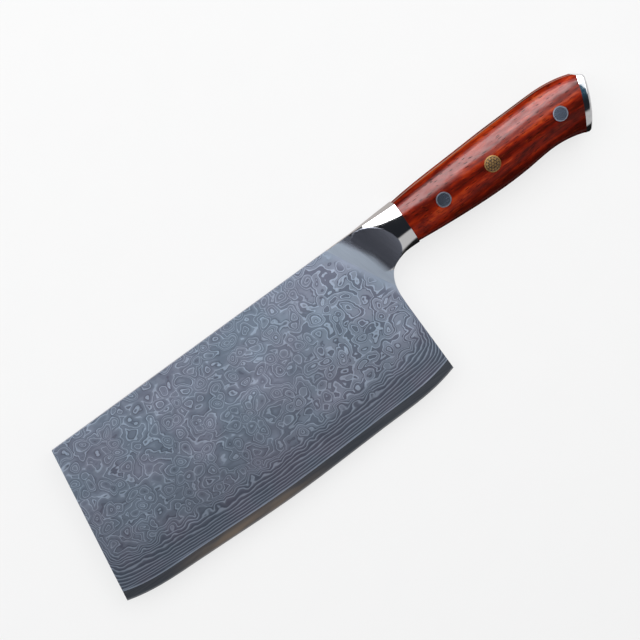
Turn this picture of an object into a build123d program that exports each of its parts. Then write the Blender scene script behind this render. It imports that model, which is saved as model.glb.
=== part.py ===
from build123d import *
import os

# A Chinese cleaver lying on its side, in millimetres. +X runs from the toe to the butt along the chord
# of the cutting edge, +Y from the edge to the spine, and +Z up, out of the near face. Places along the
# knife are measured from the toe's low corner, and heights from the chord.

# Blade outline
edge_length = 180.0         # toe corner to heel corner, straight across
toe_height = 75.9           # spine over the chord at the toe
toe_lean = 14.4             # how far the toe's top corner stands back from its low corner
edge_belly = 5.6            # drop of the curved edge below its chord
edge_shares = ((0.05, 0.38), (0.20, 0.73), (0.48, 1.0), (0.80, 0.71), (0.95, 0.38))
heel_height = 36.0          # straight part of the heel
heel_lean = 0.8             # how far the heel leans to the toe over that height

# Blade thickness: a hard core between two layered sheets, ground thin towards the edge
blade_thickness = 2.0
core_thickness = 0.75
bevel_height = 16.0         # from the edge to where the grinding runs out
core_show = 4.7             # bare core along the edge
hone_height = 0.7           # sharpened strip at the very edge
hone_thickness = 0.34
edge_land = 0.04            # what is left of the thickness at the edge itself

# Bolster outline
bolster_reach = 19.3        # wood joint behind the heel corner
joint_top = 77.5            # height of the spine at the wood joint
joint_low = 57.3            # height of the belly at the wood joint
choil_shares = ((0.07, 0.58), (0.24, 0.82), (0.51, 0.95))
weld_top_reach = 36.0       # top end of the weld in front of the wood joint
weld_low_reach = 19.5       # low end of the weld in front of the wood joint
weld_low_height = 46.3

# Scoop: the hollow on each side that thins the bolster down to the blade
scoop_radius = 27.0
scoop_top_reach = 26.5      # where it starts, in front of the wood joint, at two heights
scoop_top_height = 74.0
scoop_low_reach = 19.8
scoop_low_height = 48.1
scoop_bite = 0.03           # how far the wheel dips into the blade's faces, so that it runs out clean
scoop_sweep = 60.0          # degrees of the grinding wheel's circle that the cut uses

# Handle outline, behind the wood joint
handle_length = 100.3
spine_hump = 3.5            # rise of the spine over its height at the joint
belly_drop = 2.8            # drop of the belly below its height at the joint
spine_shares = (
    (0.15, 0.34), (0.33, 0.575), (0.50, 0.81), (0.67, 0.945), (0.76, 1.0), (0.825, 0.943), (0.865, 0.80),
    (0.905, 0.583), (0.945, 0.265),
)
spine_end_share = -0.35
belly_shares = ((0.24, 0.72), (0.416, 1.0), (0.594, 0.75), (0.713, 0.37), (0.832, 0.95))
belly_end_share = 2.0
butt_lean = 9.8             # how far the butt's low corner stands in front of its top one
butt_bulge = 0.4            # how far the butt's end curve stands out from its own chord
butt_round = 2.3

# Handle thickness: two curved sides that would meet at the lens height above and below the middle
handle_thickness = 19.6
thick_line = 68.0           # height of the thickest line over the chord
lens_height = 17.6          # from the thickest line to where the sides would meet
crown_front_share = -0.297  # first station, as a share of the handle's length behind the wood joint
crown_step_share = 0.188    # way from each station to the next
crown_shares = (0.06, 0.56, 0.92, 0.98, 1.0, 0.99, 0.975, 0.955)

# Tang
tang_thickness = 2.0
tenon_height = 12.0
tenon_length = 8.0          # into the bolster
cap_tenon_length = 3.0      # into the end cap

# Scales and end cap
scale_round = 4.5           # rounding of the scales' long corners
cap_length = 7.3            # from the cap joint to the butt's end, on the pin line
cap_slant = 20.2            # degrees that the cap joint leans back
cap_round = 1.4             # rounding of the end cap round its sides

# Pins
pin_line = 67.1             # height of the front pin over the chord
pin_climb = 0.9             # how much higher the rear pin sits
front_pin_place = 18.6      # behind the wood joint
rear_pin_inset = 18.6       # in front of the butt's end
mosaic_pin_share = 0.418    # way from the front pin to the rear one
pin_diameter = 7.0
pin_chamfer = 0.2
mosaic_diameter = 7.5
mosaic_wall = 0.55
rod_diameter = 1.0
rod_rings = ((0.0, 1), (1.25, 6), (2.5, 12))    # radius of each ring and its number of rods

# Clearances
bond = 0.02                 # glue film round pins, rods and tenons

# Places that follow from the sizes above
joint_place = edge_length + bolster_reach
overall_length = joint_place + handle_length
half_blade = blade_thickness / 2
half_tang = tang_thickness / 2
lowest = -edge_belly
highest = joint_top + spine_hump
middle = Plane(origin=(-overall_length / 2, -(lowest + highest) / 2, handle_thickness / 2))


def at(place, height, out=0.0):
    """A point of the model, from its place along the knife, its height and its way out of the middle."""
    return middle.from_local_coords(Vector(place, height, out))


def way_between(start, end):
    """The direction of a straight line of the side view."""
    return at(*end) - at(*start)


joint_plane = Plane(origin=at(joint_place, thick_line), x_dir=(0, 1, 0), z_dir=(1, 0, 0))
cap_plane = Plane(
    origin=at(joint_place + handle_length - cap_length, pin_line),
    x_dir=joint_plane.x_dir.rotate(Axis.Z, -cap_slant),
    z_dir=joint_plane.z_dir.rotate(Axis.Z, -cap_slant),
)
weld_low = (joint_place - weld_low_reach, weld_low_height)
weld_top = (joint_place - weld_top_reach, joint_top)
weld_plane = Plane(origin=at(*weld_low), z_dir=way_between(weld_low, weld_top).cross(middle.z_dir))
scoop_top = (joint_place - scoop_top_reach, scoop_top_height)
scoop_low = (joint_place - scoop_low_reach, scoop_low_height)
scoop_way = way_between(scoop_top, scoop_low)
scoop_plane = Plane(origin=at(*scoop_top), x_dir=middle.z_dir.cross(scoop_way), z_dir=scoop_way)
tenon_line = (joint_top + joint_low) / 2
pin_places = [
    at(joint_place + front_pin_place, pin_line),
    at(joint_place + handle_length - rear_pin_inset, pin_line + pin_climb),
]
mosaic_place = pin_places[0] + (pin_places[1] - pin_places[0]) * mosaic_pin_share


def blade_outline(rise, out):
    """Side view of blade and bolster, with the edge raised by rise, at a distance from the middle."""
    toe_low = (toe_lean * rise / toe_height, rise)
    heel_low = (edge_length - heel_lean * rise / heel_height, rise)
    heel_top = (edge_length - heel_lean, heel_height)
    curve = [(along * edge_length, rise - down * edge_belly) for along, down in edge_shares]
    choil = [
        (heel_top[0] + along * (joint_place - heel_top[0]), heel_height + up * (joint_low - heel_height))
        for along, up in choil_shares
    ]
    with BuildSketch(middle.offset(out)) as outline:
        with BuildLine():
            Spline(toe_low, *curve, heel_low)
            Line(heel_low, heel_top)
            Spline(heel_top, *choil, (joint_place, joint_low), tangents=((0, 1), (1, 0)))
            Line((joint_place, joint_low), (joint_place, joint_top))
            Polyline((joint_place, joint_top), (toe_lean, toe_height), toe_low)
        make_face()
    return outline.sketch


def handle_outline():
    """Side view of the handle behind the wood joint, end cap included."""
    joint_high = (joint_place, joint_top)
    joint_bottom = (joint_place, joint_low)
    spine = [
        (joint_place + along * handle_length, joint_top + up * spine_hump) for along, up in spine_shares
    ]
    belly = [
        (joint_place + along * handle_length, joint_low - down * belly_drop) for along, down in belly_shares
    ]
    butt_high = (joint_place + handle_length, joint_top + spine_end_share * spine_hump)
    butt_low = (
        joint_place + handle_length - butt_lean, joint_low - belly_end_share * belly_drop
    )
    with BuildSketch(middle) as outline:
        with BuildLine():
            Spline(joint_high, *spine, butt_high)
            SagittaArc(butt_high, butt_low, butt_bulge)
            Spline(butt_low, *reversed(belly), joint_bottom)
            Line(joint_bottom, joint_high)
        make_face()
        fillet(outline.vertices().sort_by(Axis.X)[-2:], radius=butt_round)
    return outline.sketch


# Crown: the rounded body that bolster, scales, pins and end cap are all ground to
with BuildPart() as crown:
    for station, thick in enumerate(crown_shares):
        along = crown_front_share + station * crown_step_share
        half = thick * handle_thickness / 2
        with BuildSketch(joint_plane.offset(along * handle_length)):
            with BuildLine():
                ThreePointArc((-lens_height, 0), (0, half), (lens_height, 0))
                ThreePointArc((lens_height, 0), (0, -half), (-lens_height, 0))
            make_face()
    loft()

# Blade core: the hard sheet, bare along the edge and sharpened
with BuildPart() as blade_core:
    extrude(blade_outline(0, 0), amount=edge_land / 2)
    loft([blade_outline(0, edge_land / 2), blade_outline(hone_height, hone_thickness / 2)], ruled=True)
    loft(
        [blade_outline(hone_height, hone_thickness / 2), blade_outline(core_show, core_thickness / 2)],
        ruled=True,
    )
    split(bisect_by=weld_plane, keep=Keep.BOTTOM)
    mirror(about=middle)

# Cladding: a layered sheet on each side, thinned to nothing where the core comes bare
with BuildPart() as cladding_near:
    loft([blade_outline(core_show, core_thickness / 2), blade_outline(bevel_height, half_blade)], ruled=True)
    split(bisect_by=weld_plane, keep=Keep.BOTTOM)

with BuildPart() as cladding_far:
    mirror(cladding_near.part, about=middle)

# Scoop: what the grinding wheel takes off the front of the bolster on both sides
with BuildPart() as scoop:
    with BuildSketch(scoop_plane):
        with BuildLine():
            wheel = CenterArc((0, half_blade - scoop_bite + scoop_radius), scoop_radius, -90, scoop_sweep)
            Polyline(
                wheel @ 1,
                ((wheel @ 1).X, handle_thickness),
                (-bolster_reach, handle_thickness),
                (-bolster_reach, half_blade - scoop_bite),
                wheel @ 0,
            )
        make_face()
    extrude(amount=edge_length, both=True)
    mirror(about=middle)

# Bolster: the plain steel neck and the collar in front of the scales, with a pocket for the tang
with BuildPart() as bolster:
    add(crown.part)
    extrude(blade_outline(0, 0), amount=handle_thickness, both=True, mode=Mode.INTERSECT)
    split(bisect_by=joint_plane, keep=Keep.BOTTOM)
    add(scoop.part, mode=Mode.SUBTRACT)
    extrude(blade_outline(0, 0), amount=half_blade, both=True)
    split(bisect_by=weld_plane, keep=Keep.TOP)
    with Locations(at(joint_place, tenon_line)):
        Box(
            2 * (tenon_length + bond), tenon_height + 2 * bond, tang_thickness + 2 * bond, mode=Mode.SUBTRACT
        )

# Tang: the plate under the scales, tenoned into the bolster and the end cap
with BuildPart() as tang:
    extrude(handle_outline(), amount=half_tang, both=True)
    split(bisect_by=cap_plane, keep=Keep.BOTTOM)
    with Locations(at(joint_place, tenon_line)):
        Box(2 * tenon_length, tenon_height, tang_thickness)
    with Locations(cap_plane):
        Box(tenon_height, tang_thickness, 2 * cap_tenon_length)
    with Locations(*pin_places):
        Cylinder(pin_diameter / 2 + bond, handle_thickness, mode=Mode.SUBTRACT)
    with Locations(mosaic_place):
        Cylinder(mosaic_diameter / 2 + bond, handle_thickness, mode=Mode.SUBTRACT)

# Scales: the two grip halves
with BuildPart() as scale_near:
    add(crown.part)
    extrude(handle_outline(), amount=handle_thickness, both=True, mode=Mode.INTERSECT)
    split(bisect_by=cap_plane, keep=Keep.BOTTOM)
    split(bisect_by=middle.offset(half_tang), keep=Keep.TOP)
    long_edges = scale_near.edges().filter_by(lambda edge: edge.length > handle_length / 2)
    fillet(long_edges.sort_by(Axis.Z)[-2:], radius=scale_round)
    with Locations(*pin_places):
        Cylinder(pin_diameter / 2 + bond, 2 * handle_thickness, mode=Mode.SUBTRACT)
    with Locations(mosaic_place):
        Cylinder(mosaic_diameter / 2 + bond, 2 * handle_thickness, mode=Mode.SUBTRACT)

with BuildPart() as scale_far:
    mirror(scale_near.part, about=middle)

# End cap: polished steel over the butt, with a pocket for the tang
with BuildPart() as end_cap:
    add(crown.part)
    extrude(handle_outline(), amount=handle_thickness, both=True, mode=Mode.INTERSECT)
    split(bisect_by=cap_plane, keep=Keep.TOP)
    rims = end_cap.edges().filter_by(Axis.Z, reverse=True).filter_by(
        lambda edge: abs(cap_plane.to_local_coords(edge.center()).Z) > cap_round / 2
    )
    fillet(rims, radius=cap_round)
    with Locations(cap_plane):
        Box(
            tenon_height + 2 * bond, tang_thickness + 2 * bond, 2 * (cap_tenon_length + bond),
            mode=Mode.SUBTRACT,
        )

# Steel pins through both scales and the tang, ground flush with the wood
steel_pins = {}
for name, place in zip(("front_pin", "rear_pin"), pin_places):
    with BuildPart() as pin:
        with Locations(place):
            Cylinder(pin_diameter / 2, 2 * handle_thickness)
        add(crown.part, mode=Mode.INTERSECT)
        chamfer(pin.edges().filter_by(GeomType.LINE, reverse=True), length=pin_chamfer)
    steel_pins[name] = pin

# Mosaic pin: a brass tube filled with resin round rings of brass rods
tube_bore = mosaic_diameter / 2 - mosaic_wall
with BuildPart() as mosaic_tube:
    with Locations(mosaic_place):
        Cylinder(mosaic_diameter / 2, 2 * handle_thickness)
        Cylinder(tube_bore, 2 * handle_thickness, mode=Mode.SUBTRACT)
    add(crown.part, mode=Mode.INTERSECT)

with BuildPart() as mosaic_rods:
    for ring_radius, rods in rod_rings:
        with Locations(mosaic_place):
            with PolarLocations(ring_radius, rods):
                Cylinder(rod_diameter / 2, 2 * handle_thickness)
    add(crown.part, mode=Mode.INTERSECT)

with BuildPart() as mosaic_filler:
    with Locations(mosaic_place):
        Cylinder(tube_bore - bond, 2 * handle_thickness)
    for ring_radius, rods in rod_rings:
        with Locations(mosaic_place):
            with PolarLocations(ring_radius, rods):
                Cylinder(rod_diameter / 2 + bond, 2 * handle_thickness, mode=Mode.SUBTRACT)
    add(crown.part, mode=Mode.INTERSECT)

# One STEP file for each piece
pieces = {
    "blade_core": blade_core,
    "cladding_near": cladding_near,
    "cladding_far": cladding_far,
    "bolster": bolster,
    "tang": tang,
    "scale_near": scale_near,
    "scale_far": scale_far,
    "end_cap": end_cap,
    "front_pin": steel_pins["front_pin"],
    "rear_pin": steel_pins["rear_pin"],
    "mosaic_tube": mosaic_tube,
    "mosaic_filler": mosaic_filler,
    "mosaic_rods": mosaic_rods,
}
os.makedirs("parts", exist_ok=True)
for label, piece in pieces.items():
    piece.part.label = label
    export_step(piece.part, f"parts/{label}.step")
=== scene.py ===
import math

import bmesh
import bpy
from mathutils import Matrix, Vector

# A Chinese cleaver lying on its side on a pale floor, dressed in its steels, rosewood and brass.
# Places on the knife are given as in the CAD part: millimetres along the edge from the toe's low
# corner, height over the edge's chord, and the way out of the middle plane towards the near face.

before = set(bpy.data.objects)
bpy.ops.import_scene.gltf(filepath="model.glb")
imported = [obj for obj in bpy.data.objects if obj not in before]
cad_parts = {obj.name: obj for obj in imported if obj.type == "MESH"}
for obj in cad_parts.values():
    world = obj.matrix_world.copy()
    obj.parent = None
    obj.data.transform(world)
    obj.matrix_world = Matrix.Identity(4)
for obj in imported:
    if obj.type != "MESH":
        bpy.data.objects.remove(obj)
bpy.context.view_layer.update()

MILLIMETRE = 0.001                    # in metres, which Blender works in
KNIFE_ORIGIN = (-149.8, -37.7, 9.8)   # that point of the knife in the frame, in millimetres

# Sizes of the CAD part that the finishes follow, in millimetres
EDGE_LENGTH = 180.0
EDGE_BELLY = 5.6
EDGE_DEEPEST = 0.98                   # place of the belly's deepest point, in halves of the edge
TOE_LEAN = 0.19                       # how far toe and heel lean for each millimetre of height
HEEL_LEAN = 0.022
HALF_BLADE = 1.0
HALF_CORE = 0.375
CORE_SHOW = 4.7
HALF_HONE = 0.17
HALF_TANG = 1.0
WOOD_JOINT = 199.3
SCOOP_RADIUS = 27.0
SCOOP_LOWEST = HALF_BLADE - 0.03
SCOOP_TOP = (WOOD_JOINT - 26.5, 74.0)
SCOOP_LOW = (WOOD_JOINT - 19.8, 48.1)
WELD_TOP = (WOOD_JOINT - 36.0, 77.5)
WELD_LOW = (WOOD_JOINT - 19.5, 46.3)
PINS = ((WOOD_JOINT + 18.6, 67.1), (WOOD_JOINT + 81.7, 68.0))
PIN_RADIUS = 3.5
CROWN_RADIUS = 20.7

# Lines that only the finishes have, as places and heights on the knife
SATIN_TOP = (WOOD_JOINT - 30.2, 77.7)
SATIN_LOW = (WOOD_JOINT - 16.6, 54.0)
SHINE_CLIMB = 0.030                   # how far the wood's shine climbs for each millimetre along it
STRIPES_TO = 12.5                     # heights over the bare core
RINGS_FROM = 16.5
FLAT_FROM = 19.0

# The lamps' aim and the photo's camera
LAMP_AIM = (150.0, 50.0)
PHOTO_PIXELS = 640.0
FOCAL_PIXELS = 1695.4
SENSOR_WIDTH = 36.0
CAMERA_AIM = (143.62, 53.5)
CAMERA_DISTANCE = 0.75
CAMERA_TILT = 12.5                    # degrees
CAMERA_ROLL = 35.556


def at(place, height, out=0.0):
    """A point of the knife, in metres of the frame."""
    return Vector((place, height, out)) * MILLIMETRE + Vector(KNIFE_ORIGIN) * MILLIMETRE


# Short calls for node trees

def feed(tree, socket, value):
    """Gives a socket another node's output, or a value of its own."""
    if isinstance(value, bpy.types.NodeSocket):
        tree.links.new(value, socket)
    else:
        socket.default_value = value


def put(tree, kind, feeds=None, **settings):
    """Adds a node. feeds gives its inputs, by name or number, a value or another node's output."""
    made = tree.nodes.new("ShaderNode" + kind)
    for name, value in settings.items():
        setattr(made, name, value)
    for name, value in (feeds or {}).items():
        feed(tree, made.inputs[name], value)
    return made


def calc(tree, operation, *terms, clamp=False):
    """One step of arithmetic on numbers or outputs."""
    return put(tree, "Math", dict(enumerate(terms)), operation=operation, use_clamp=clamp).outputs[0]


def rise(tree, value, low, high, bottom=0.0, top=1.0):
    """Goes smoothly from bottom to top while value goes from low to high."""
    feeds = {"Value": value, "From Min": low, "From Max": high, "To Min": bottom, "To Max": top}
    return put(tree, "MapRange", feeds, interpolation_type="SMOOTHSTEP").outputs["Result"]


def stretch(tree, vector, scale, shift=(0.0, 0.0, 0.0)):
    """The same coordinates, scaled along each axis and shifted."""
    return put(tree, "Mapping", {"Vector": vector, "Scale": scale, "Location": shift}).outputs[0]


def noise(tree, vector, scale, detail=2.0, roughness=0.5, shift=(0.0, 0.0, 0.0), output="Fac"):
    """Cloudy noise between nought and one. Its scale is one number, or one for each axis. The output Fac
    is one cloud, and Color is three."""
    if isinstance(scale, tuple):
        vector = stretch(tree, vector, scale, shift)
        scale = 1.0
    feeds = {"Vector": vector, "Scale": scale, "Detail": detail, "Roughness": roughness}
    return put(tree, "TexNoise", feeds).outputs[output]


def bend(tree, vector, cloud, reach):
    """The same coordinates, pushed about by a cloud's colours, so far along each axis."""
    feeds = {0: cloud, 1: reach, 2: vector}
    return put(tree, "VectorMath", feeds, operation="MULTIPLY_ADD").outputs[0]


def steps(tree, value, stops):
    """A ramp of greys or colours along value."""
    made = put(tree, "ValToRGB", {"Fac": value})
    elements = made.color_ramp.elements
    while len(elements) < len(stops):
        elements.new(0.5)
    for element, (position, colour) in zip(elements, stops):
        element.position = position
        if isinstance(colour, float):
            colour = (colour, colour, colour)
        element.color = (*colour, 1.0)
    return made.outputs["Color"]


def blend(tree, share, first, second, how="MIX"):
    """Mixes two colours."""
    made = put(tree, "Mix", {0: share}, data_type="RGBA", blend_type=how, clamp_factor=True)
    for number, colour in ((6, first), (7, second)):
        if isinstance(colour, tuple):
            colour = (*colour, 1.0)
        feed(tree, made.inputs[number], colour)
    return made.outputs[2]


def mix(tree, share, first, second):
    """Mixes two numbers."""
    return put(tree, "Mix", {0: share, 2: first, 3: second}, data_type="FLOAT").outputs[0]


def group(name, inputs, outputs):
    """A new node group with its sockets. Gives the tree, its input node and its output node."""
    tree = bpy.data.node_groups.new(name, "ShaderNodeTree")
    for label, kind, default in inputs:
        socket = tree.interface.new_socket(label, in_out="INPUT", socket_type="NodeSocket" + kind)
        if default is not None:
            socket.default_value = default
    for label, kind in outputs:
        tree.interface.new_socket(label, in_out="OUTPUT", socket_type="NodeSocket" + kind)
    return tree, tree.nodes.new("NodeGroupInput"), tree.nodes.new("NodeGroupOutput")


def use(tree, shared, feeds=None):
    """Places a shared group in a material."""
    made = tree.nodes.new("ShaderNodeGroup")
    made.node_tree = shared
    for name, value in (feeds or {}).items():
        feed(tree, made.inputs[name], value)
    return made


def material(name, metallic=0.0):
    """A material with a plain Principled shader. Gives its tree and the shader too."""
    made = bpy.data.materials.new(name)
    made.use_nodes = True
    shader = made.node_tree.nodes["Principled BSDF"]
    shader.inputs["Metallic"].default_value = metallic
    shader.inputs["IOR"].default_value = 1.5
    return made, made.node_tree, shader


def dress(tree, shader, colour, roughness):
    """Feeds the shader's colour and roughness."""
    feed(tree, shader.inputs["Base Color"], colour)
    feed(tree, shader.inputs["Roughness"], roughness)


def relief(tree, shader, height, depth, strength=1.0):
    """Feeds a height to the shader's normal. depth is what a height of one stands for, in millimetres."""
    bump = put(tree, "Bump", {"Height": height, "Distance": depth * MILLIMETRE, "Strength": strength})
    tree.links.new(bump.outputs["Normal"], shader.inputs["Normal"])


# Effects that several materials share

def knife_places():
    """Where a point of the surface is on the knife, in millimetres."""
    tree, _, result = group(
        "knife_places", [], [("Point", "Vector"), ("Place", "Float"), ("Height", "Float"), ("Out", "Float")]
    )
    coordinates = put(tree, "TexCoord").outputs["Object"]
    point = stretch(tree, coordinates, [1.0 / MILLIMETRE] * 3, [-value for value in KNIFE_ORIGIN])
    parts = put(tree, "SeparateXYZ", {0: point})
    tree.links.new(point, result.inputs["Point"])
    for number, label in enumerate(("Place", "Height", "Out")):
        tree.links.new(parts.outputs[number], result.inputs[label])
    return tree


def handling_marks():
    """Faint smears and hairline scratches that polished surfaces pick up in use."""
    tree, given, result = group(
        "handling_marks",
        [("Point", "Vector", None), ("Smears", "Float", 0.5), ("Scratches", "Float", 0.5)],
        [("Roughness", "Float"), ("Height", "Float")],
    )
    point = given.outputs["Point"]
    smear = noise(tree, point, (0.05, 0.12, 0.12), 4.0, 0.6)
    smear = calc(tree, "MULTIPLY", rise(tree, smear, 0.45, 0.75), given.outputs["Smears"])
    slanted = bend(tree, point, noise(tree, point, 0.03, 1.0, output="Color"), (1.0, 1.0, 1.0))
    hair = noise(tree, slanted, (0.08, 4.0, 4.0), 3.0, 0.7)
    hair = calc(tree, "MULTIPLY", rise(tree, hair, 0.62, 0.72), given.outputs["Scratches"])
    tree.links.new(calc(tree, "ADD", smear, hair), result.inputs["Roughness"])
    tree.links.new(calc(tree, "SUBTRACT", 1.0, hair), result.inputs["Height"])
    return tree


def brushing():
    """Fine parallel lines that a belt leaves, along the knife."""
    tree, given, result = group(
        "brushing", [("Point", "Vector", None), ("Turn", "Float", 0.0)], [("Lines", "Float")]
    )
    turned = put(
        tree, "VectorRotate", {"Vector": given.outputs["Point"], "Angle": given.outputs["Turn"]},
        rotation_type="Z_AXIS",
    ).outputs[0]
    coarse = noise(tree, turned, (0.04, 1.6, 1.6), 4.0, 0.65)
    fine = noise(tree, turned, (0.10, 6.0, 6.0), 2.0, 0.6)
    lines = calc(tree, "ADD", calc(tree, "MULTIPLY", coarse, 0.6), calc(tree, "MULTIPLY", fine, 0.4))
    tree.links.new(lines, result.inputs["Lines"])
    return tree


PLACES = knife_places()
MARKS = handling_marks()
BRUSHED = brushing()


def handled(tree, spot, smears, scratches):
    """Handling marks on a piece, with so much of each kind."""
    return use(tree, MARKS, {"Point": spot.outputs["Point"], "Smears": smears, "Scratches": scratches})


def brushed(tree, spot, turn):
    """Belt lines on a piece, turned by so many radians from the length of the knife."""
    return use(tree, BRUSHED, {"Point": spot.outputs["Point"], "Turn": turn}).outputs["Lines"]


# The finishes

def beyond_line(tree, place, height, top, low):
    """How far a point is behind a slanted line of the side view, towards the handle."""
    way = (Vector(low) - Vector(top)).normalized()
    across = calc(tree, "MULTIPLY_ADD", place, -way.y, top[0] * way.y - top[1] * way.x)
    return calc(tree, "MULTIPLY_ADD", height, way.x, across)


def pressed_drops(tree, flat, swell):
    """How deep the layers lie on the flat: swells, ripples, and round dents that were pressed into the
    stack before it was ground."""
    warp = bend(tree, flat, noise(tree, flat, 0.10, 0.0, output="Color"), (5.0, 5.0, 1.0))
    warp = bend(tree, warp, noise(tree, flat, 0.30, 0.0, output="Color"), (1.8, 1.8, 0.0))
    drops = put(
        tree, "TexVoronoi", {"Vector": warp, "Scale": 0.155, "Smoothness": 0.10, "Randomness": 0.68},
        feature="SMOOTH_F1",
    )
    kind = put(tree, "SeparateColor", {0: drops.outputs["Color"]}).outputs[0]
    dent = calc(tree, "MULTIPLY_ADD", drops.outputs["Distance"], -1.65, 1.0, clamp=True)
    dent = calc(tree, "MULTIPLY", dent, calc(tree, "MULTIPLY_ADD", kind, 1.8, 2.2))
    ripple = noise(tree, flat, 0.17, 0.0)
    drawn = calc(tree, "MULTIPLY_ADD", swell, 5.5, calc(tree, "MULTIPLY_ADD", ripple, 2.4, dent))
    return calc(tree, "SUBTRACT", drawn, 4.9)


def swept(tree, distance, fade, share):
    """How much the height counts at a distance from an end of the blade. It counts for less near the end,
    so that the layers turn up there."""
    near = calc(tree, "EXPONENT", calc(tree, "MULTIPLY", distance, -fade))
    return calc(tree, "MULTIPLY_ADD", near, -share, 1.0)


def ground_height(tree, place, height):
    """Height over the bare core, swept up along heel and toe, and level on the flat."""
    along = calc(tree, "MULTIPLY_ADD", place, 2.0 / EDGE_LENGTH, -EDGE_DEEPEST)
    above = calc(tree, "MULTIPLY_ADD", calc(tree, "MULTIPLY", along, along), -EDGE_BELLY,
                 calc(tree, "ADD", height, EDGE_BELLY - CORE_SHOW))
    heel_place = calc(tree, "MULTIPLY_ADD", height, -HEEL_LEAN, EDGE_LENGTH)
    from_heel = calc(tree, "MAXIMUM", calc(tree, "SUBTRACT", heel_place, place), 0.0)
    from_toe = calc(tree, "MAXIMUM", calc(tree, "MULTIPLY_ADD", height, -TOE_LEAN, place), 0.0)
    sweep = calc(tree, "MULTIPLY", swept(tree, from_heel, fade=0.24, share=0.58),
                 swept(tree, from_toe, fade=0.20, share=0.40))
    ground = calc(tree, "SMOOTH_MIN", calc(tree, "MULTIPLY", above, sweep), FLAT_FROM, 5.0)
    return calc(tree, "MAXIMUM", ground, 0.0)


def layer_tones(tree, depth, ground, boldness):
    """Tones of the layers that come to the surface: outlines of rings on the flat, thin at the toe and
    bold at the heel, and stripes where the blade is ground."""
    pair = calc(tree, "FRACT", calc(tree, "MULTIPLY", depth, 0.5))
    thin = steps(tree, pair, (
        (0.00, 0.21), (0.18, 0.18), (0.23, 0.03), (0.28, 0.06), (0.32, 0.80), (0.38, 0.76), (0.43, 0.13),
        (0.50, 0.28), (0.62, 0.24), (0.67, 0.04), (0.72, 0.82), (0.77, 0.76), (0.82, 0.34), (0.94, 0.31),
        (1.00, 0.21),
    ))
    bold = steps(tree, pair, (
        (0.00, 0.44), (0.10, 0.42), (0.14, 0.04), (0.19, 0.07), (0.24, 0.94), (0.31, 0.88), (0.36, 0.10),
        (0.60, 0.15), (0.64, 0.02), (0.69, 0.94), (0.77, 0.88), (0.81, 0.38), (0.92, 0.46), (1.00, 0.44),
    ))
    rings = blend(tree, rise(tree, boldness, 104.0, 158.0), thin, bold)
    stripes = steps(tree, calc(tree, "FRACT", depth), (
        (0.00, 0.12), (0.36, 0.02), (0.48, 0.08), (0.62, 0.80), (0.74, 0.76), (0.88, 0.20), (1.00, 0.12),
    ))
    return blend(tree, rise(tree, ground, RINGS_FROM, STRIPES_TO), rings, stripes)


def layered_steel():
    """Etched layered steel: raindrop rings on the flat, wavy parallel lines where the grinding cuts the
    layers, swept up along heel and toe."""
    made, tree, shader = material("layered_steel", metallic=1.0)
    spot = use(tree, PLACES)
    place, height, out = (spot.outputs[label] for label in ("Place", "Height", "Out"))

    # each side has a pattern of its own
    side = calc(tree, "MULTIPLY", calc(tree, "SIGN", out), 40.0)
    flat = put(tree, "CombineXYZ", {0: place, 1: height, 2: side}).outputs[0]

    # the grinding cuts through the stack, with the layers closest together at the core
    swell = noise(tree, flat, 0.060, 0.0)
    drawn = pressed_drops(tree, flat, swell)
    ground = ground_height(tree, place, height)
    stack, spread = 16.67, 0.0615
    layers = calc(tree, "LOGARITHM", calc(tree, "MULTIPLY_ADD", ground, spread, 1.0), math.e)
    waves = noise(tree, flat, (0.085, 0.20, 1.0))
    waves = calc(tree, "MULTIPLY", waves, rise(tree, ground, 0.0, 13.0, 0.7, 2.8))
    free = rise(tree, ground, 7.5, 17.5, 0.04, 1.0)
    depth = calc(tree, "MULTIPLY_ADD", drawn, free, calc(tree, "MULTIPLY_ADD", layers, -stack, waves))
    boldness = calc(tree, "MULTIPLY_ADD", swell, 60.0, calc(tree, "MULTIPLY_ADD", height, -0.4, place))
    tone = layer_tones(tree, depth, ground, boldness)

    # a bright line at the seam with the core, and an even tone at the weld
    seam = rise(tree, calc(tree, "ABSOLUTE", out), HALF_CORE + 0.052, HALF_CORE + 0.020)
    tone = calc(tree, "MAXIMUM", tone, seam)
    weld = rise(tree, beyond_line(tree, place, height, WELD_TOP, WELD_LOW), -4.5, -0.2)
    tone = calc(tree, "MULTIPLY_ADD", calc(tree, "SUBTRACT", 0.62, tone), weld, tone)

    # etched dark and light, with fine grit, and painted shade that darkens the blade towards the edge
    tint = rise(tree, noise(tree, flat, 0.05), 0.35, 0.65)
    dark = blend(tree, tint, (0.110, 0.138, 0.188), (0.128, 0.134, 0.190))
    light = blend(tree, tint, (0.510, 0.620, 0.765), (0.550, 0.620, 0.760))
    colour = blend(tree, tone, dark, light)
    grit = noise(tree, flat, 3.2, 3.0, 0.7)
    colour = blend(tree, rise(tree, grit, 0.35, 0.75, 0.0, 0.13), colour, (0.26, 0.29, 0.34))
    # painted shade: the colour is multiplied darker and warmer towards the edge, standing in for the dimmer
    # light there
    colour = blend(tree, rise(tree, height, 54.0, 4.0, 0.0, 0.85), colour, (0.81, 0.78, 0.78), "MULTIPLY")
    marks = handled(tree, spot, smears=0.06, scratches=0.03)
    dull = calc(tree, "MULTIPLY_ADD", tone, -0.05, 0.45)
    dress(tree, shader, colour, calc(tree, "ADD", dull, marks.outputs["Roughness"]))
    relief(tree, shader, calc(tree, "MULTIPLY_ADD", grit, 0.25, tone), 0.012, 0.6)
    return made


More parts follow.
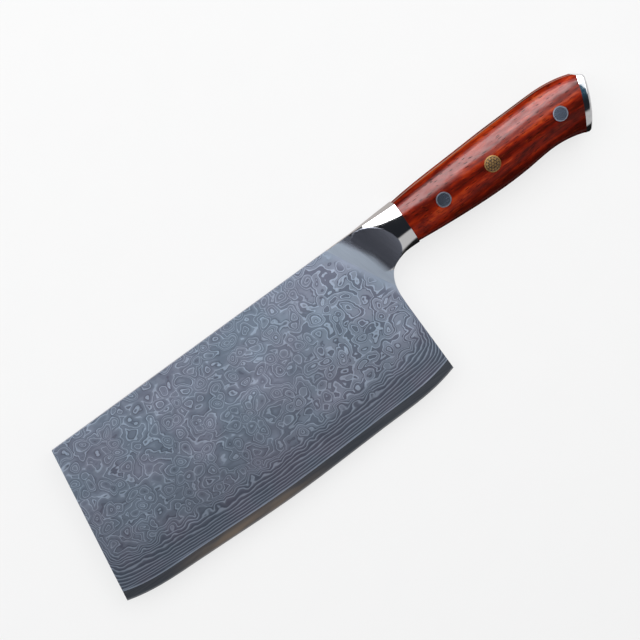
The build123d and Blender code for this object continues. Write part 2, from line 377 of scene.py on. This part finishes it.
def core_steel():
    """The bare hard core: dark etched band with a warm patina in the middle, brighter where it is honed."""
    made, tree, shader = material("core_steel", metallic=1.0)
    spot = use(tree, PLACES)
    place, point = spot.outputs["Place"], spot.outputs["Point"]
    out = calc(tree, "ABSOLUTE", spot.outputs["Out"])
    lines = brushed(tree, spot, turn=0.03)
    etched = steps(tree, lines, ((0.25, (0.070, 0.080, 0.096)), (0.60, (0.125, 0.135, 0.157))))
    cloud = noise(tree, point, (0.05, 0.25, 0.0), 2.0)
    patina = calc(tree, "MULTIPLY", rise(tree, place, 18.0, 55.0), rise(tree, place, 118.0, 72.0))
    patina = calc(tree, "MULTIPLY", patina, rise(tree, cloud, 0.25, 0.60, 0.35, 1.0))
    lower = rise(tree, out, HALF_CORE - 0.01, HALF_CORE - 0.14, 0.35, 1.0)
    etched = blend(tree, calc(tree, "MULTIPLY", patina, lower), etched, (0.330, 0.265, 0.215))
    honed = rise(tree, out, HALF_HONE + 0.015, HALF_HONE - 0.005)
    colour = blend(tree, calc(tree, "MULTIPLY", honed, 0.6), etched, (0.30, 0.31, 0.33))
    rough = calc(tree, "MULTIPLY_ADD", honed, -0.12, calc(tree, "MULTIPLY_ADD", lines, 0.10, 0.36))
    dress(tree, shader, colour, rough)
    relief(tree, shader, lines, 0.008, 0.5)
    return made


def bolster_steel():
    """Mirror-polished collar, satin scoop and neck with painted shade darkening the scoop, and a
    belt-ground strip along the spine.
    """
    made, tree, shader = material("bolster_steel", metallic=1.0)
    spot = use(tree, PLACES)
    place, height, out = (spot.outputs[label] for label in ("Place", "Height", "Out"))

    # on the scoop, the distance from the axis of the wheel that cut it is the wheel's radius
    across = beyond_line(tree, place, height, SCOOP_TOP, SCOOP_LOW)
    up = calc(tree, "SUBTRACT", SCOOP_LOWEST + SCOOP_RADIUS, calc(tree, "ABSOLUTE", out))
    reach = calc(tree, "SQRT", calc(tree, "ADD", calc(tree, "MULTIPLY", across, across),
                                    calc(tree, "MULTIPLY", up, up)))
    collar = rise(tree, reach, SCOOP_RADIUS + 0.02, SCOOP_RADIUS + 0.16)
    plate = rise(tree, calc(tree, "ABSOLUTE", out), HALF_BLADE + 0.06, HALF_BLADE + 0.01)
    polish = calc(tree, "MULTIPLY", collar, calc(tree, "SUBTRACT", 1.0, plate))
    hollow = rise(tree, calc(tree, "ABSOLUTE", out), HALF_BLADE - 0.02, HALF_BLADE + 0.40)
    hollow = calc(tree, "MAXIMUM", hollow,
                  rise(tree, beyond_line(tree, place, height, SATIN_TOP, SATIN_LOW), -0.6, 3.2))

    normal = put(tree, "SeparateXYZ", {0: put(tree, "NewGeometry").outputs["Normal"]})
    spine = rise(tree, normal.outputs[1], 0.90, 0.97)
    cross = brushed(tree, spot, turn=1.25)
    along = brushed(tree, spot, turn=0.0)
    satin = steps(tree, cross, ((0.30, (0.41, 0.47, 0.56)), (0.70, (0.49, 0.55, 0.64))))
    # painted shade: a darker satin on the scoop and past the satin line, standing in for the dark
    # reflection there
    painted_shade_satin = steps(tree, cross, ((0.30, (0.36, 0.38, 0.46)), (0.70, (0.42, 0.44, 0.53))))
    satin = blend(tree, hollow, satin, painted_shade_satin)
    belt = steps(tree, along, ((0.30, (0.22, 0.19, 0.175)), (0.70, (0.43, 0.375, 0.35))))
    colour = blend(tree, polish, satin, (0.75, 0.745, 0.75))
    colour = blend(tree, spine, colour, belt)

    marks = handled(tree, spot, smears=0.03, scratches=0.05)
    shiny = calc(tree, "ADD", marks.outputs["Roughness"], 0.055)
    dull = calc(tree, "MULTIPLY_ADD", hollow, -0.14, calc(tree, "MULTIPLY_ADD", cross, 0.06, 0.36))
    dress(tree, shader, colour, mix(tree, spine, mix(tree, polish, dull, shiny), 0.30))
    lines = mix(tree, spine, cross, along)
    ground = calc(tree, "MAXIMUM", calc(tree, "SUBTRACT", 1.0, polish), spine)
    ground = calc(tree, "MULTIPLY", ground, calc(tree, "MULTIPLY_ADD", hollow, -0.75, 1.0))
    relief(tree, shader, calc(tree, "MULTIPLY", lines, ground), 0.008, 0.6)
    return made


def levelled(tree, spot, middle, flatness, lines, depth):
    """Height in millimetres that takes the share flatness of the crown's roundness away about the height
    middle on the knife, with lines of that depth on top."""
    off = calc(tree, "SUBTRACT", spot.outputs["Height"], middle)
    bow = calc(tree, "MULTIPLY", calc(tree, "MULTIPLY", off, off), 0.5 * flatness / CROWN_RADIUS)
    return calc(tree, "MULTIPLY_ADD", lines, depth, bow)


def cap_steel():
    """Polished end cap, buffed flatter than the wood, with faint smears and hairlines."""
    made, tree, shader = material("cap_steel", metallic=1.0)
    spot = use(tree, PLACES)
    marks = handled(tree, spot, smears=0.03, scratches=0.06)
    cloud = noise(tree, spot.outputs["Point"], 0.35, 3.0)
    colour = blend(tree, rise(tree, cloud, 0.35, 0.65), (0.72, 0.72, 0.73), (0.66, 0.66, 0.67))
    dress(tree, shader, colour, calc(tree, "ADD", marks.outputs["Roughness"], 0.05))
    surface = levelled(tree, spot, middle=68.1, flatness=0.544, lines=marks.outputs["Height"], depth=0.001)
    relief(tree, shader, surface, 1.0)
    return made


def pin_steel():
    """Pin ends: rubbed flat with the wood and scratched slantwise, with a painted highlight that brightens
    the rim.
    """
    made, tree, shader = material("pin_steel", metallic=1.0)
    spot = use(tree, PLACES)
    lines = brushed(tree, spot, turn=0.5)
    colour = steps(tree, lines, ((0.30, (0.24, 0.28, 0.37)), (0.70, (0.31, 0.36, 0.46))))
    rims = []
    for middle in PINS:
        away = [calc(tree, "SUBTRACT", spot.outputs[label], value)
                for label, value in zip(("Place", "Height"), middle)]
        squares = [calc(tree, "MULTIPLY", value, value) for value in away]
        rims.append(calc(tree, "SQRT", calc(tree, "ADD", *squares)))
    rim = rise(tree, calc(tree, "MINIMUM", *rims), PIN_RADIUS - 0.75, PIN_RADIUS - 0.25)
    # painted highlight: the rim is lightened where its bevel would catch the light
    colour = blend(tree, calc(tree, "MULTIPLY", rim, 0.35), colour, (0.50, 0.53, 0.58))
    marks = handled(tree, spot, smears=0.05, scratches=0.08)
    rough = calc(tree, "MULTIPLY_ADD", rim, 0.12, marks.outputs["Roughness"])
    dress(tree, shader, colour, calc(tree, "ADD", rough, 0.22))
    surface = levelled(tree, spot, middle=68.0, flatness=0.9, lines=lines, depth=0.004)
    relief(tree, shader, surface, 1.0)
    return made


def brass():
    """Brass of the mosaic pin, slightly tarnished."""
    made, tree, shader = material("mosaic_brass", metallic=1.0)
    spot = use(tree, PLACES)
    tarnish = noise(tree, spot.outputs["Point"], 1.4, 3.0, 0.6)
    colour = blend(tree, rise(tree, tarnish, 0.40, 0.70), (0.36, 0.225, 0.085), (0.18, 0.105, 0.042))
    marks = handled(tree, spot, smears=0.08, scratches=0.08)
    dress(tree, shader, colour, calc(tree, "ADD", marks.outputs["Roughness"], 0.34))
    relief(tree, shader, tarnish, 0.010, 0.5)
    return made


def resin():
    """Dark brown resin between the rods, with specks of brass dust left by sanding."""
    made, tree, shader = material("mosaic_resin")
    spot = use(tree, PLACES)
    dust = noise(tree, spot.outputs["Point"], 9.0, 2.0, 0.6)
    colour = blend(tree, rise(tree, dust, 0.55, 0.70), (0.030, 0.016, 0.010), (0.16, 0.10, 0.05))
    dress(tree, shader, colour, rise(tree, dust, 0.30, 0.80, 0.20, 0.42))
    relief(tree, shader, dust, 0.008, 0.5)
    return made


def ground_steel():
    """Belt-ground steel of the tang, browned by the wood's oil and darkest in the seams."""
    made, tree, shader = material("tang_steel", metallic=1.0)
    spot = use(tree, PLACES)
    lines = brushed(tree, spot, turn=0.0)
    bright = steps(tree, lines, ((0.28, (0.15, 0.075, 0.045)), (0.72, (0.24, 0.135, 0.085))))
    from_middle = calc(tree, "ABSOLUTE", spot.outputs["Out"])
    seam = rise(tree, from_middle, HALF_TANG - 0.14, HALF_TANG - 0.01)
    colour = blend(tree, seam, bright, (0.06, 0.035, 0.025))
    dress(tree, shader, colour, calc(tree, "MULTIPLY_ADD", lines, 0.14, 0.40))
    relief(tree, shader, lines, 0.010, 0.7)
    return made


def growth_bands_and_painted_light(tree, grain, height, painted_highlight):
    """Orange to dark red bands, mottled. Painted light is mixed in: a lighter tone towards the spine,
    painted shade darkening towards the belly, and a lighter, pinker painted highlight band.
    """
    # painted light: lighter towards the spine here, and painted shade darker towards the belly on the next
    # line
    level = calc(tree, "ADD", noise(tree, grain, (0.012, 0.26, 0.22), 3.0, 0.55, shift=(0.0, 3.0, 9.0)),
                 rise(tree, height, 70.5, 79.0, 0.0, 0.06))
    level = calc(tree, "ADD", level, rise(tree, height, 68.0, 58.5, 0.0, -0.19))
    figure = noise(tree, grain, (0.11, 0.30, 0.30), shift=(2.0, 0.0, 4.0))
    level = calc(tree, "ADD", level, calc(tree, "MULTIPLY_ADD", figure, 0.34, -0.18))
    mottle = noise(tree, grain, (0.24, 0.60, 0.60), 1.0, shift=(7.0, 0.0, 1.0))
    level = calc(tree, "ADD", level, calc(tree, "MULTIPLY_ADD", mottle, 0.24, -0.12))
    # painted highlight: the band is lifted lighter here and tinted pink at the end
    level = calc(tree, "SMOOTH_MAX", level, calc(tree, "MULTIPLY", painted_highlight, 0.54), 0.10)
    colour = steps(tree, level, (
        (0.30, (0.034, 0.0028, 0.0015)), (0.43, (0.078, 0.0048, 0.0018)), (0.54, (0.138, 0.0092, 0.0021)),
        (0.63, (0.215, 0.0210, 0.0040)), (0.74, (0.290, 0.0470, 0.0085)),
    ))
    return blend(tree, painted_highlight, colour, (1.0, 0.72, 1.30), "MULTIPLY")


def open_pores(tree, grain):
    """Where the wood has its pores: short dashes along the grain, more of them in some bands."""
    pores = put(
        tree, "TexVoronoi", {"Vector": stretch(tree, grain, (0.20, 1.90, 1.90)), "Scale": 1.0},
        feature="F1",
    )
    chosen = put(tree, "SeparateColor", {0: pores.outputs["Color"]}).outputs[0]
    crowded = noise(tree, grain, (0.05, 0.4, 0.4))
    chosen = rise(tree, calc(tree, "ADD", chosen, crowded), 0.92, 0.98)
    return calc(tree, "MULTIPLY", rise(tree, pores.outputs["Distance"], 0.29, 0.21), chosen)


def rosewood():
    """Oiled and buffed rosewood: orange to dark red growth bands, mottled figure, dark streaks, and short
    open pores along the grain, with a painted highlight band and painted shade towards the belly."""
    made, tree, shader = material("rosewood")
    spot = use(tree, PLACES)
    point, height = spot.outputs["Point"], spot.outputs["Height"]
    drift = noise(tree, point, (0.018, 0.05, 0.05), output="Color")
    grain = bend(tree, point, drift, (0.0, 7.0, 7.0))
    lit = calc(tree, "MULTIPLY_ADD", spot.outputs["Place"], -SHINE_CLIMB, height)
    # painted highlight: a pink band along the handle where the lamp's shine falls, climbing towards the
    # butt
    painted_highlight = calc(tree, "MULTIPLY", rise(tree, lit, 65.0, 67.4), rise(tree, lit, 71.6, 70.0))
    colour = growth_bands_and_painted_light(tree, grain, height, painted_highlight)

    # fibres, dark streaks and pores
    fibres = noise(tree, grain, (0.07, 2.6, 2.6), 4.0, 0.65)
    colour = blend(tree, rise(tree, fibres, 0.48, 0.72, 0.0, 0.40), colour, (0.065, 0.0060, 0.0035))
    colour = blend(tree, rise(tree, fibres, 0.43, 0.25, 0.0, 0.28), colour, (0.400, 0.0680, 0.0110))
    streaks = noise(tree, grain, (0.045, 1.50, 1.50), 3.0, 0.6, shift=(5.0, 0.0, 0.0))
    streaks = calc(tree, "MULTIPLY", rise(tree, streaks, 0.58, 0.68), 0.40)
    colour = blend(tree, streaks, colour, (0.030, 0.0045, 0.0035))
    pores = open_pores(tree, grain)
    colour = blend(tree, calc(tree, "MULTIPLY", pores, 0.95), colour, (0.008, 0.0025, 0.0020))
    sheen = noise(tree, point, 0.12, 3.0)
    dress(tree, shader, colour, calc(tree, "MULTIPLY_ADD", sheen, 0.10, 0.30))
    shader.inputs["Specular IOR Level"].default_value = 0.0

    # the buffed finish is rubbed off the long edges and the belly, where the hand closes
    normal = put(tree, "SeparateXYZ", {0: put(tree, "NewGeometry").outputs["Normal"]})
    buffed = rise(tree, calc(tree, "ABSOLUTE", normal.outputs[1]), 0.82, 0.62, 0.0, 0.88)
    patches = noise(tree, grain, (0.16, 0.55, 0.55), 3.0, 0.6)
    held = calc(tree, "MULTIPLY_ADD", calc(tree, "SUBTRACT", patches, 0.5), 2.0, lit)
    buffed = calc(tree, "MULTIPLY", buffed, rise(tree, held, 65.2, 67.2, 0.18, 1.0))
    buffed = calc(tree, "MULTIPLY", buffed, rise(tree, patches, 0.25, 0.60, 0.70, 1.0))
    buffed = calc(tree, "MULTIPLY", buffed, calc(tree, "MULTIPLY_ADD", pores, -0.7, 1.0))
    feed(tree, shader.inputs["Coat Weight"], buffed)
    shader.inputs["Coat Roughness"].default_value = 0.165
    shader.inputs["Coat IOR"].default_value = 1.66
    surface = calc(tree, "MULTIPLY_ADD", pores, -0.8, calc(tree, "MULTIPLY", fibres, -0.25))
    relief(tree, shader, surface, 0.06, 0.7)
    return made


# Which piece wears what

layered, wood, pin_metal, mosaic_brass = layered_steel(), rosewood(), pin_steel(), brass()
FINISHES = {
    "blade_core": core_steel(),
    "cladding_near": layered,
    "cladding_far": layered,
    "bolster": bolster_steel(),
    "tang": ground_steel(),
    "scale_near": wood,
    "scale_far": wood,
    "end_cap": cap_steel(),
    "front_pin": pin_metal,
    "rear_pin": pin_metal,
    "mosaic_tube": mosaic_brass,
    "mosaic_rods": mosaic_brass,
    "mosaic_filler": resin(),
}
for name, finish in FINISHES.items():
    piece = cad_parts[name]
    for slot in piece.material_slots:
        slot.material = finish


# Floor, light and camera

def pale_floor(half_width, gap):
    """A wide pale floor, seen just under white, that takes the knife's soft shadow. Both sizes are in
    metres."""
    shape = bmesh.new()
    bmesh.ops.create_grid(shape, x_segments=1, y_segments=1, size=half_width)
    bmesh.ops.translate(shape, verts=shape.verts, vec=(0.0, 0.0, -gap))
    mesh = bpy.data.meshes.new("floor")
    shape.to_mesh(mesh)
    shape.free()
    floor = bpy.data.objects.new("floor", mesh)
    bpy.context.scene.collection.objects.link(floor)
    made, tree, shader = material("floor_paper")
    tone = noise(tree, put(tree, "TexCoord").outputs["Object"], 60.0, 3.0)
    dress(tree, shader, steps(tree, tone, ((0.3, 0.79), (0.7, 0.81))), 0.8)
    rays = put(tree, "LightPath")
    seen = calc(tree, "MAXIMUM", rays.outputs["Is Camera Ray"], rays.outputs["Is Glossy Ray"])
    seen = calc(tree, "MAXIMUM", seen, rays.outputs["Is Transmission Ray"])
    white = put(tree, "Emission", {"Strength": 0.87})
    share = calc(tree, "MULTIPLY", seen, 0.85)
    mixed = put(tree, "MixShader", {0: share, 1: shader.outputs[0], 2: white.outputs[0]})
    tree.links.new(mixed.outputs[0], tree.nodes["Material Output"].inputs["Surface"])
    mesh.materials.append(made)


def studio_walls():
    """A dark ceiling, bluer towards the butt, and grey walls beyond the edge and the butt, for the
    polished steel to show."""
    world = bpy.data.worlds.new("studio")
    bpy.context.scene.world = world
    world.use_nodes = True
    tree = world.node_tree
    way = put(tree, "SeparateXYZ", {0: put(tree, "TexCoord").outputs["Generated"]})
    along, across = way.outputs[0], way.outputs[1]
    ceiling = calc(tree, "MULTIPLY", rise(tree, across, -0.50, -0.43), rise(tree, along, 0.50, 0.36))
    wall = rise(tree, across, -0.76, -0.82, 0.60, 0.01)
    walls = put(tree, "CombineColor", {0: wall, 1: wall, 2: wall}).outputs[0]
    teal = calc(tree, "MULTIPLY", rise(tree, along, 0.13, 0.22), rise(tree, across, -0.30, 0.02))
    dark = blend(tree, teal, (0.018, 0.020, 0.025), (0.040, 0.120, 0.185))
    colour = blend(tree, ceiling, walls, dark)
    tree.links.new(colour, tree.nodes["Background"].inputs["Color"])


def softbox(name, way, width, depth, watts, distance=0.9):
    """A rectangular soft light that faces the middle of the knife. way is along and across, in degrees
    from straight up, and the sizes are in metres."""
    lamp = bpy.data.lights.new(name, "AREA")
    lamp.shape = "RECTANGLE"
    lamp.size, lamp.size_y = width, depth
    lamp.energy = watts
    light = bpy.data.objects.new(name, lamp)
    bpy.context.scene.collection.objects.link(light)
    along, across = (math.tan(math.radians(angle)) for angle in way)
    direction = Vector((along, across, 1.0)).normalized()
    light.location = at(*LAMP_AIM) + direction * distance
    light.rotation_euler = direction.to_track_quat("Z", "Y").to_euler()


def photo_camera():
    """Nearly straight above, leaning towards the spine, with the edge climbing to the right."""
    lens = bpy.data.cameras.new("photo")
    lens.sensor_width = SENSOR_WIDTH
    lens.lens = SENSOR_WIDTH * FOCAL_PIXELS / PHOTO_PIXELS
    lens.clip_start = 0.05
    camera = bpy.data.objects.new("photo", lens)
    bpy.context.scene.collection.objects.link(camera)
    tilt, roll = math.radians(CAMERA_TILT), math.radians(CAMERA_ROLL)
    camera.matrix_world = (
        Matrix.Translation(at(*CAMERA_AIM)) @ Matrix.Rotation(-tilt, 4, "X")
        @ Matrix.Rotation(-roll, 4, "Z") @ Matrix.Translation((0.0, 0.0, CAMERA_DISTANCE))
    )
    bpy.context.scene.camera = camera


pale_floor(half_width=3.0, gap=0.0001)
studio_walls()
softbox("key", (5.0, 32.5), width=1.72, depth=0.78, watts=18.8)
softbox("end", (44.0, 5.0), width=0.45, depth=0.75, watts=1.4)
softbox("side", (3.0, 69.0), width=1.72, depth=0.43, watts=2.6)
photo_camera()
bpy.context.scene.view_settings.view_transform = "Standard"
